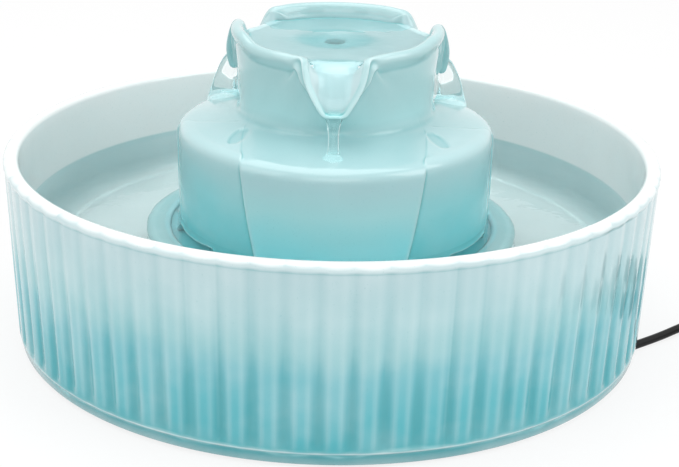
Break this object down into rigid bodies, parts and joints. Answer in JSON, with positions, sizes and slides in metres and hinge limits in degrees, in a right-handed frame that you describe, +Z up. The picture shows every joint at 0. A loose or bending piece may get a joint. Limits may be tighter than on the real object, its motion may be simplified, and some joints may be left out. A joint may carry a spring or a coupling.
{
  "type": "pet water fountain",
  "caption": "Ceramic pet drinking fountain: fluted bowl, lift-off dome with pouring spouts, ring filter and submersible pump on a low-voltage lead.",
  "frame": {"origin": "on the table under the middle of the bowl", "axes": "+Z up; the front spout points along -Y; the lead leaves towards +X"},
  "size_m": [0.3414, 0.26, 0.1265],
  "materials": {
    "bowl_glaze": "glossy pale celadon glaze, white at the rim",
    "tier_glaze": "glossy celadon glaze",
    "dome_glaze": "glossy celadon glaze that pools darker low down",
    "silicone": "matte translucent white silicone",
    "clear_silicone": "clear silicone",
    "filter_plastic": "white moulded plastic",
    "cotton": "white felted fibre",
    "carbon": "black carbon granules",
    "foam": "open-cell black foam",
    "pump_plastic": "black moulded plastic",
    "dial_plastic": "teal moulded plastic",
    "impeller_plastic": "white moulded plastic",
    "magnet": "dark sintered ferrite",
    "shaft_ceramic": "polished white ceramic",
    "core_steel": "stacked laminations",
    "copper": "enamelled copper wire",
    "potting": "black cast resin",
    "lead_jacket": "black soft jacket with a faint gloss",
    "tie": "black soft tie",
    "plug_plastic": "black moulded plastic",
    "plug_steel": "nickel-plated steel"
  },
  "bodies": {
    "root": {"bowl": "bowl_glaze", "foot_pads": "silicone", "floor_stopper": "silicone", "pump_base": "tier_glaze", "foam_collar": "foam", "pump_body": "pump_plastic", "chamber_plate": "pump_plastic", "chamber_seal": "silicone", "pump_shaft": "shaft_ceramic", "shaft_bushings": "silicone", "stator_core": "core_steel", "stator_coil": "copper", "pump_potting": "potting", "suction_cups": "clear_silicone", "pump_cord_relief": "lead_jacket", "lead_inner": "lead_jacket", "lead_free": "lead_jacket", "lead_coil": "lead_jacket", "lead_tail": "lead_jacket", "coil_tie": "tie", "plug_body": "plug_plastic", "plug_shell": "plug_steel", "plug_tongue": "plug_plastic"},
    "dome": {"dome": "dome_glaze", "riser_tube": "clear_silicone", "riser_collar": "silicone"},
    "filter": {"filter_tray": "filter_plastic", "filter_lid": "filter_plastic", "filter_cotton": "cotton", "filter_carbon": "carbon"},
    "impeller": {"impeller": "impeller_plastic", "rotor_magnet": "magnet"},
    "front_cover": {"pump_front_cover": "pump_plastic"},
    "dial": {"flow_dial": "dial_plastic"}
  },
  "joints": [
    {"name": "dome_lift", "type": "slide", "parent": "root", "child": "dome", "axis": [0, 0, 1], "range_m": [0, 0.09]},
    {"name": "filter_lift", "type": "slide", "parent": "root", "child": "filter", "axis": [0, 0, 1], "range_m": [0, 0.045]},
    {"name": "impeller_spin", "type": "hinge", "parent": "root", "child": "impeller", "pos_m": [0, 0, 0.0228], "axis": [0, 1, 0], "continuous": true},
    {"name": "cover_slide", "type": "slide", "parent": "root", "child": "front_cover", "axis": [0, -1, 0], "range_m": [0, 0.01]},
    {"name": "dial_turn", "type": "hinge", "parent": "front_cover", "child": "dial", "pos_m": [0, -0.012, 0.0228], "axis": [0, 1, 0], "range_deg": [0, 90]}
  ],
  "couplings": [
    {"joint": "filter_lift", "follows": "dome_lift", "ratio": 0.5}
  ]
}
